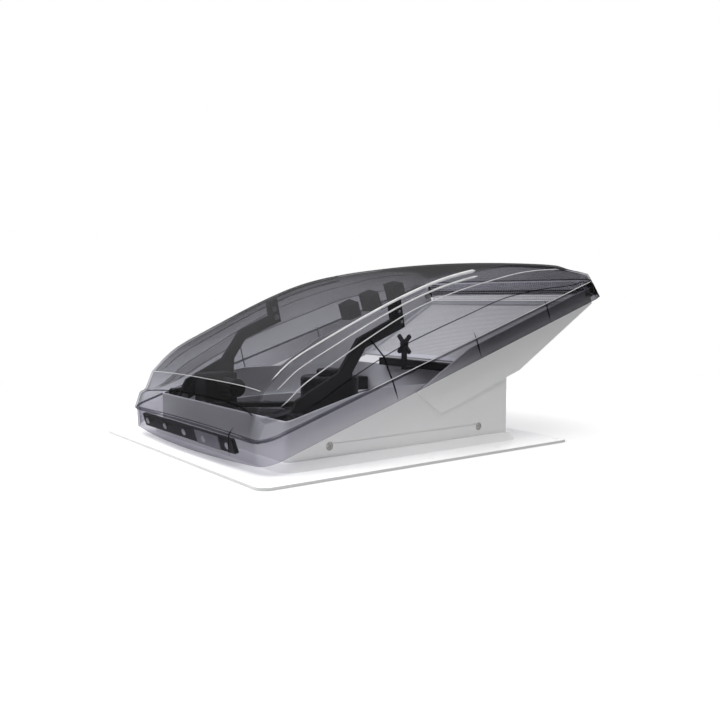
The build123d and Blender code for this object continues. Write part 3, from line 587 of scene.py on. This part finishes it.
def outline(level, inset):
    """Loop of points round the lid at a level between its low edge and its lip."""
    part = level / LIP_HEIGHT
    half, corner = SKIRT_HALF - SKIRT_DRAW * part - inset, SKIRT_CORNER - inset
    front = end_and_corner(
        half, corner, FRONT_END + FRONT_DRAW * part + inset, FRONT_BOW - FRONT_BOW_LOSS * part
    )
    rear = [(x, -y) for x, y in end_and_corner(half, corner, inset + REAR_DRAW * part - REAR_END, REAR_BOW)]
    right = front + rear[::-1]
    left = [(-x, y) for x, y in right[-2:0:-1]]
    return [lid_point(x, along, level) for x, along in right + left]


def skirt_mesh():
    """Skirt with the dark bead of its lip."""
    rows = [outline(level, inset) for level, inset in SKIRT_SECTION]
    return shade(from_rows(
        rows, closed_rows=True, closed_columns=True,
        finish_at=lambda i, j: ON_EDGE if i in LIP_BEAD else ON_SKIRT,
    ), 40.0)


def side_line(side, first, last, line, towards=None, share=0.0):
    """Points along one side of the hood, on one of its lines or a share of the way towards another."""
    path = []
    for n in range(LINE_STEPS + 1):
        row = row_at(first + (last - first) * n / LINE_STEPS)
        start, end = [[row[column] for column in HOOD_LINES[name]] for name in (line, towards or line)]
        x, up = between(start, end, share)
        path.append(lid_point(side * x, row[1], up))
    return path


# Ribs and beads, in millimetres but for their radius: where each long bead starts and ends.
CROWN_BEADS, SHOULDER_BEAD = (62.0, 372.0), (60.0, 520.0)
CREASE_BEAD, LIP_LINE = (80.0, 545.0), (150.0, 550.0)
# The painted highlight line on the lip: half width, height and steps.
LIP_OUT, LIP_TOP, LIP_STEPS = 176.3, 26.4, 40
# Upright ribs: place along the lid and height. Their foot: half width and height inside the skirt.
SIDE_RIBS = ((187.0, 76.0), (324.0, 36.0), (457.0, 30.0))
SIDE_RIB_FOOT = ((175.0, 1.0), (174.4, 12.0), (173.6, 24.0))
SIDE_RIB_STEPS = 4
# The rib in front: how far from the middle, then its places along and up the lid.
FRONT_RIB_X = 100.0
FRONT_RIB = ((6.0, 2.0), (8.5, 12.0), (13.0, 24.0), (20.0, 29.0))
RIB_RADIUS = 0.9 * MM
CORNER_CLEAR = 2


def side_rib(side, along, top):
    """Thin upright rib inside the skirt and side, as high as the top given."""
    row = row_at(along)
    lip, crease, shoulder = (row[2], LIP_HEIGHT), (row[3], row[6]), (row[4], row[7])
    line = list(SIDE_RIB_FOOT)
    for start, end in ((lip, crease), (crease, shoulder)):
        for n in range(1, SIDE_RIB_STEPS + 1):
            x, up = between(start, end, n / SIDE_RIB_STEPS)
            if LIP_HEIGHT < up <= top:
                line.append((x - LID_WALL, up))
    return tube([lid_point(side * x, along, up) for x, up in line], RIB_RADIUS, LID_ALONG)


def front_line(number):
    """Points across the hood's front along one of its rows, short of the corners."""
    clear = SIDE_STEPS + CORNER_CLEAR
    return hood_profile(HOOD_ROWS[number])[clear:-clear]


def lip_line(side):
    """Points along the outer face of the lip."""
    first, last = LIP_LINE
    places = [first + (last - first) * n / LIP_STEPS for n in range(LIP_STEPS + 1)]
    return [lid_point(side * LIP_OUT, along, LIP_TOP) for along in places]


# Bright beads carry painted highlights: two ribs on each side, lines along the shoulder and the lip, and one
# along the front's upper crease.
bright, dark = [], []
for side in (-1, 1):
    bright += [
        tube(side_line(side, *CROWN_BEADS, "edge"), 0.8 * MM, swell=2.0),
        tube(side_line(side, *CROWN_BEADS, "edge", "shoulder", share=0.42), 0.6 * MM, swell=1.8),
        tube(side_line(side, *SHOULDER_BEAD, "shoulder"), 0.7 * MM),
        tube(lip_line(side), 0.55 * MM),
    ]
    dark += [side_rib(side, along, top) for along, top in SIDE_RIBS]
    # Painted shade: a dark line along each side's crease.
    dark.append(tube(side_line(side, *CREASE_BEAD, "crease"), 0.6 * MM))
dark.append(tube([lid_point(FRONT_RIB_X, along, up) for along, up in FRONT_RIB], RIB_RADIUS))
# Painted shade: a dark line along the front's lower crease.
dark.append(tube(front_line(FRONT_ROW), 0.6 * MM))
bright.append(tube(front_line(TOP_ROW), 0.4 * MM))
piece(
    "smoke_lid",
    joined(
        hood_mesh(), skirt_mesh(), *[coloured(rib, ON_EDGE) for rib in dark],
        *[coloured(rib, ON_PAINTED_HIGHLIGHT) for rib in bright],
    ),
    "lid", "smoke", "lid_dome", finishes=LID_FINISHES,
)


# Screws

HEAD_SIDES, HEAD_RINGS = 32, 7
HEAD_SHOULDER = 0.97
# Parts of the head's height: its rim, the depth of the cross and the middle of its floor.
HEAD_RIM, CROSS_DEPTH, CROSS_FLOOR = 0.45, 0.55, 0.4
# Parts of the head's radius: half the width of the cross and its reach.
CROSS_HALF, CROSS_REACH = 0.14, 0.62


def cross_head(radius, height):
    """Domed screw head with a cross recess."""
    rows = [circle(radius, HEAD_SIDES)]
    for ring in range(HEAD_RINGS):
        reach = radius * (1 - ring / HEAD_RINGS) * (HEAD_SHOULDER if ring else 1.0)
        dome = height * (HEAD_RIM + (1 - HEAD_RIM) * math.sqrt(max(0.0, 1 - (reach / radius) ** 2)))
        row = circle(reach, HEAD_SIDES, dome)
        for point in row:
            if min(abs(point.x), abs(point.y)) < CROSS_HALF * radius and reach < CROSS_REACH * radius:
                point.z -= CROSS_DEPTH * height
        rows.append(row)
    rows.append([Vector((0, 0, CROSS_FLOOR * height))] * HEAD_SIDES)
    return shade(capped(from_rows(rows, closed_columns=True)), 30.0)


def copies_tree(name):
    """A geometry tree that sets a shape on each point, turned as the point says, and coats it."""
    tree = bpy.data.node_groups.new(name, "GeometryNodeTree")
    for label, way, kind in (
        ("Geometry", "INPUT", "Geometry"), ("Shape", "INPUT", "Object"), ("Finish", "INPUT", "Material"),
        ("Geometry", "OUTPUT", "Geometry"),
    ):
        tree.interface.new_socket(label, in_out=way, socket_type="NodeSocket" + kind)
    recipe = Recipe(tree)
    points, chosen, finish = [
        recipe.node("NodeGroupInput", {}, {}, output=label) for label in ("Geometry", "Shape", "Finish")
    ]
    shape = recipe.node("GeometryNodeObjectInfo", {}, {"Object": chosen}, output="Geometry")
    turn = recipe.node(
        "GeometryNodeInputNamedAttribute", {"data_type": "QUATERNION"}, {"Name": "turn"}, output="Attribute"
    )
    copies = recipe.node(
        "GeometryNodeInstanceOnPoints", {}, {"Points": points, "Instance": shape, "Rotation": turn}
    )
    real = recipe.node("GeometryNodeRealizeInstances", {}, {"Geometry": copies})
    coated = recipe.node("GeometryNodeSetMaterial", {}, {"Geometry": real, "Material": finish})
    recipe.end("NodeGroupOutput", "Geometry", coated)
    return tree


def instanced(name, shape, places, finish):
    """Copies of a shape at each place, a matrix, made real by a geometry tree."""
    points = bpy.data.meshes.new(name)
    points.from_pydata([place.to_translation() for place in places], [], [])
    turns = points.attributes.new("turn", "QUATERNION", "POINT")
    for index, place in enumerate(places):
        turns.data[index].value = place.to_quaternion()
    carrier, source = placed(name, points), placed(name + "_shape", shape)
    tree = copies_tree(name + "_tree")
    modifier = carrier.modifiers.new(name, "NODES")
    modifier.node_group = tree
    sockets = {item.name: item.identifier for item in tree.interface.items_tree if item.in_out == "INPUT"}
    modifier[sockets["Shape"]] = source
    modifier[sockets["Finish"]] = finish
    carrier.update_tag()
    made = plain_mesh(carrier)
    bpy.data.objects.remove(source)
    return made


def screwed(point, direction, spin):
    """A place whose Z axis points along a direction, turned about it by an angle in degrees."""
    facing = Vector(direction).to_track_quat("Z", "Y").to_matrix().to_4x4()
    return Matrix.Translation(point) @ facing @ Matrix.Rotation(math.radians(spin), 4, "Z")


# Side screws, in metres: the face they stand on, and their places along and up.
WALL_FACE, WALL_SCREW_Y, WALL_SCREW_Z = 0.1624, 0.112, 0.0238
# Strip screws, in the lid's millimetres: the first one, their pitch, the strip's face and their height.
STRIP_FIRST, STRIP_PITCH, STRIP_FACE, STRIP_UP = -137.0, 56.2, 12.5, 8.75
# How many screws the strip has, the one that stands on the cover, and how far it stands out.
STRIP_SCREWS, COVER_SCREW, COVER_WALL = 5, 3, 1.2

wall_corners = [(side, end * WALL_SCREW_Y) for side in (-1, 1) for end in (-1, 1)]
wall_places = [
    screwed((side * WALL_FACE, y, WALL_SCREW_Z), (side, 0, 0), spin=20.0 + 50.0 * n)
    for n, (side, y) in enumerate(wall_corners)
]
wall_head = cross_head(radius=4.6 * MM, height=1.3 * MM)
wall_heads = instanced("wall_screws", wall_head, wall_places, ZINC)
piece("wall_screw_heads", wall_heads, "base", "steel", "side_screws")

strip_places = []
for n in range(STRIP_SCREWS):
    face = STRIP_FACE - (COVER_WALL if n == COVER_SCREW else 0.0)
    point = lid_point(STRIP_FIRST + STRIP_PITCH * n, face, STRIP_UP)
    strip_places.append(screwed(point, -LID_ALONG, spin=25.0 * n))
strip_head = cross_head(radius=4.0 * MM, height=2.0 * MM)
strip_heads = instanced("strip_heads", strip_head, strip_places, BRIGHT_ZINC)
piece("strip_screw_heads", strip_heads, "lid", "steel", "strip_screws")


# Nets

# How far crossing wires stand off the net's middle, as a part of their thickness.
WIRE_CROSSING = 0.4


def add_wire(made, axis, offset, level, run, half):
    """Add a straight wire of square section, along Y for axis 0 and along X for axis 1."""
    rings = []
    for place in run:
        corners = [(offset + a, level + b) for a, b in ((-half, 0.0), (0.0, half), (half, 0.0), (0.0, -half))]
        rings.append([
            made.verts.new((wide, place, up) if axis == 0 else (place, wide, up)) for wide, up in corners
        ])
    near, far = rings
    for n in range(4):
        made.faces.new((near[n], near[(n + 1) % 4], far[(n + 1) % 4], far[n]))
    made.faces.new(near)
    made.faces.new(far)


def wire_net(width, length, pitch, wire, hole=None):
    """Straight wires both ways over a rectangle, broken round a hole (x, y, radius)."""
    made = bmesh.new()
    for axis, (span, reach) in enumerate(((width, length), (length, width))):
        level = wire * (WIRE_CROSSING if axis else -WIRE_CROSSING)
        count = int(span / pitch)
        for n in range(count + 1):
            offset = -span / 2 + span * n / count
            runs = [(-reach / 2, reach / 2)]
            if hole:
                gap = hole[2] ** 2 - (offset - hole[axis]) ** 2
                if gap > 0:
                    centre, half = hole[1 - axis], math.sqrt(gap)
                    runs = [(-reach / 2, centre - half), (centre + half, reach / 2)]
            for run in runs:
                add_wire(made, axis, offset, level, run, wire / 2)
    return as_mesh(made)


KNOB_HOLE = 13.4 * MM
RING_STEPS = 40
low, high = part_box("insect_screen")
knob_low, knob_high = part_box("lift_crank")
knob_x, knob_y = (knob_low[0] + knob_high[0]) / 2, (knob_low[1] + knob_high[1]) / 2
insect = wire_net(high[0] - low[0], high[1] - low[1], 2.6 * MM, 0.45 * MM, (knob_x, knob_y, KNOB_HOLE))
ring = [Vector((knob_x, knob_y, 0.0)) + point for point in circle(KNOB_HOLE, RING_STEPS)]
insect = joined(insect, tube(ring + ring[:1], 0.9 * MM, tipped=False))
insect.transform(Matrix.Translation((0, 0, (low[2] + high[2]) / 2)))
piece("insect_net", insect, "base", "mesh_white", "insect_screen", finishes=(NET_INSECT,))

NET_PITCH, NET_WIRE = 3.6 * MM, 0.9 * MM
NET_WIDTH, REAR_LENGTH, TOP_LENGTH = 0.3106, 0.1478, 0.0294
REAR_NET_OUT = 2.5 * MM
# Ends of the rear frame's middle line, and the middle of the net above it, along and up the lid.
FRAME_LOW, FRAME_HIGH, TOP_NET_MIDDLE = (392.15, -43.0), (556.0, -6.9), (552.7, 11.3)
frame_low, frame_high = lid_point(0, *FRAME_LOW), lid_point(0, *FRAME_HIGH)
net_along = (frame_high - frame_low).normalized()
net_out = ACROSS.cross(net_along)
rear = wire_net(NET_WIDTH, REAR_LENGTH, NET_PITCH, NET_WIRE)
rear.transform(framed((ACROSS, net_along, net_out), (frame_low + frame_high) / 2 + net_out * REAR_NET_OUT))
piece("rear_net", rear, "shroud", "mesh_grey", "rear_screen", finishes=(NET_REAR,))

upright = wire_net(NET_WIDTH, TOP_LENGTH, NET_PITCH, NET_WIRE)
upright.transform(framed((ACROSS, LID_UP, -LID_ALONG), lid_point(0, *TOP_NET_MIDDLE)))
piece("top_net", upright, "shroud", "mesh_grey", "top_screen", finishes=(NET_REAR,))


# Fan, sizes in millimetres and degrees

BLADES, BLADE_HEIGHT = 10, 26.2
BLADE_ROOT, BLADE_TIP = 42.0, 148.2
ROOT_CHORD, CHORD_GAIN, TIP_LOSS, TIP_FROM = 37.0, 10.0, 9.0, 0.85
ROOT_PITCH, TWIST = 30.0, 9.0
CAMBER, HALF_THICKNESS = 3.2, 1.1
BLADE_ROWS, BLADE_STEPS = 12, 10
HUB_SIDES = 72
HUB_PROFILE = (
    (4.0, 17.0), (40.5, 17.0), (43.0, 17.7), (44.0, 19.5), (44.0, 37.0), (41.0, 37.0), (41.0, 20.5),
    (39.5, 20.0), (8.0, 20.0), (8.0, 37.0), (4.0, 37.0),
)


def fan_blade():
    """One cambered blade, twisted from root to tip, with rounded tip corners."""
    chordwise = [n / BLADE_STEPS for n in range(BLADE_STEPS + 1)]
    rows = []
    for n in range(BLADE_ROWS + 1):
        part = n / BLADE_ROWS
        reach = (BLADE_ROOT + (BLADE_TIP - BLADE_ROOT) * part) * MM
        rounding = TIP_LOSS * max(0.0, part - TIP_FROM) / (1 - TIP_FROM)
        chord = (ROOT_CHORD + CHORD_GAIN * part - rounding) * MM
        pitch = math.radians(ROOT_PITCH - TWIST * part)
        row = []
        for face, places in ((1, chordwise), (-1, chordwise[::-1])):
            for place in places:
                x = chord * (place - 0.5)
                bend = CAMBER * MM * (1 - (2 * place - 1) ** 2)
                z = bend + face * HALF_THICKNESS * MM * math.sqrt(max(0.0, 1 - (2 * place - 1) ** 4))
                angle = (x * math.cos(pitch) - z * math.sin(pitch)) / reach
                up = x * math.sin(pitch) + z * math.cos(pitch)
                row.append(Vector((reach * math.cos(angle), reach * math.sin(angle), up)))
        rows.append(row)
    return shade(capped(from_rows(rows, closed_columns=True)), 40.0)


hub_rows = [circle(radius * MM, HUB_SIDES, height * MM) for radius, height in HUB_PROFILE]
hub = shade(from_rows(hub_rows, closed_rows=True, closed_columns=True), 35.0)
blade_places = [
    Matrix.Translation((0, 0, BLADE_HEIGHT * MM)) @ Matrix.Rotation(FULL_TURN * n / BLADES, 4, "Z")
    for n in range(BLADES)
]
blades = instanced("fan_blades", fan_blade(), blade_places, BLACK)
piece("fan_wheel", joined(hub, blades), "fan", "black", "fan_rotor", finishes=(BLACK,))


# Floor, light and camera

FLOOR_REACH, FLOOR_DROP = 4.0, 0.0004
# The floor turns from pale paint to the white of the backdrop between these distances.
PAINT_TO, WHITE_FROM = 0.45, 0.95
SKY_COLOUR, SKY_STRENGTH = (0.97, 0.98, 1.0, 1.0), 0.16
LAMP_PLACE, LAMP_AIM = Vector((-0.45, -0.4, 1.9)), Vector((-0.3, -0.3, 0.1))
LAMP_WIDTH, LAMP_LENGTH, LAMP_WATTS = 2.7, 3.2, 122.0
CAMERA_PLACE = Vector((0.8560, -0.5862, 0.18095))
CAMERA_TURN, CAMERA_DROP = math.radians(53.367), math.radians(4.396)
LENS, SENSOR_WIDTH, NEAREST = 39.54, 36.0, 0.01

floor_corners = [(x * FLOOR_REACH, y * FLOOR_REACH, 0) for x, y in ((-1, -1), (1, -1), (1, 1), (-1, 1))]
floor_mesh = bpy.data.meshes.new("floor")
floor_mesh.from_pydata(floor_corners, [], [(0, 1, 2, 3)])
floor = placed("floor", floor_mesh)
floor.location.z = -FLOOR_DROP
pale = material("pale_floor")
near = pale.node("ShaderNodeVectorMath", {"operation": "LENGTH"}, [pale.place()], output="Value")
paint = pale.principled(Base_Color=grey(0.88), Roughness=0.9)
ground = pale.principled(Base_Color=grey(0.45), Roughness=0.9)
white = pale.node("ShaderNodeEmission", {}, {"Color": grey(1.0), "Strength": 1.0})
shown = pale.mix(pale.rising(near, PAINT_TO, WHITE_FROM, least=0.55), paint, white)
floor_mesh.materials.append(pale.show(pale.mix(pale.in_sight(), ground, shown)))

scene.world = bpy.data.worlds.new("studio")
sky = Finish(scene.world)
soft = sky.node("ShaderNodeBackground", {}, {"Color": SKY_COLOUR, "Strength": SKY_STRENGTH})
backdrop = sky.node("ShaderNodeBackground", {}, {"Color": grey(1.0), "Strength": 1.0})
sky.show(sky.mix(sky.in_sight(), soft, backdrop), "ShaderNodeOutputWorld")

lamp_data = bpy.data.lights.new("top_softbox", "AREA")
lamp_data.shape = "RECTANGLE"
lamp_data.size, lamp_data.size_y, lamp_data.energy = LAMP_WIDTH, LAMP_LENGTH, LAMP_WATTS
lamp = placed("top_softbox", lamp_data)
lamp.location = LAMP_PLACE
lamp.rotation_euler = (LAMP_AIM - LAMP_PLACE).to_track_quat("-Z", "Y").to_euler()
lamp.visible_glossy = False

camera_data = bpy.data.cameras.new("camera")
camera_data.lens, camera_data.sensor_width, camera_data.clip_start = LENS, SENSOR_WIDTH, NEAREST
camera = placed("camera", camera_data)
scene.camera = camera
ahead = Vector((
    -math.sin(CAMERA_TURN) * math.cos(CAMERA_DROP), math.cos(CAMERA_TURN) * math.cos(CAMERA_DROP),
    -math.sin(CAMERA_DROP),
))
right = Vector((math.cos(CAMERA_TURN), math.sin(CAMERA_TURN), 0.0))
camera.matrix_world = framed((right, right.cross(ahead), -ahead), CAMERA_PLACE)

scene.view_settings.view_transform = "Standard"
